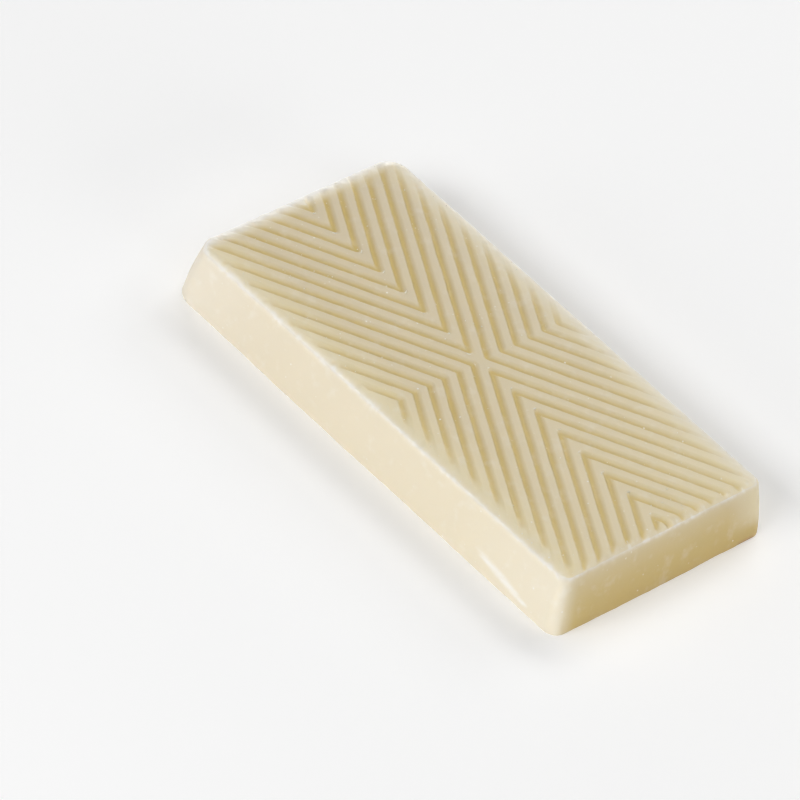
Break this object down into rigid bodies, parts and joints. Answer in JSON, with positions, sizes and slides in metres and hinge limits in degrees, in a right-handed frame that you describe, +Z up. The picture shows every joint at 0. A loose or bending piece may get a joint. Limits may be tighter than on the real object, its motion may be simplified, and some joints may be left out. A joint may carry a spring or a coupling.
{
  "type": "white chocolate bar",
  "caption": "Snack-size white chocolate bar: drafted slab with rounded corners, soft shoulders and a nested chevron relief that meets in an X at the centre of the top.",
  "frame": {"origin": "centre of the flat base, on the surface that the bar lies on", "axes": "+X along the length, +Y across the width, +Z up through the relief face"},
  "size_m": [0.0712, 0.0358, 0.0085],
  "materials": {
    "white_chocolate": "cream white chocolate, satin and slightly waxy, a little light passing through its edges"
  },
  "bodies": {
    "root": {"bar": "white_chocolate"}
  },
  "joints": []
}
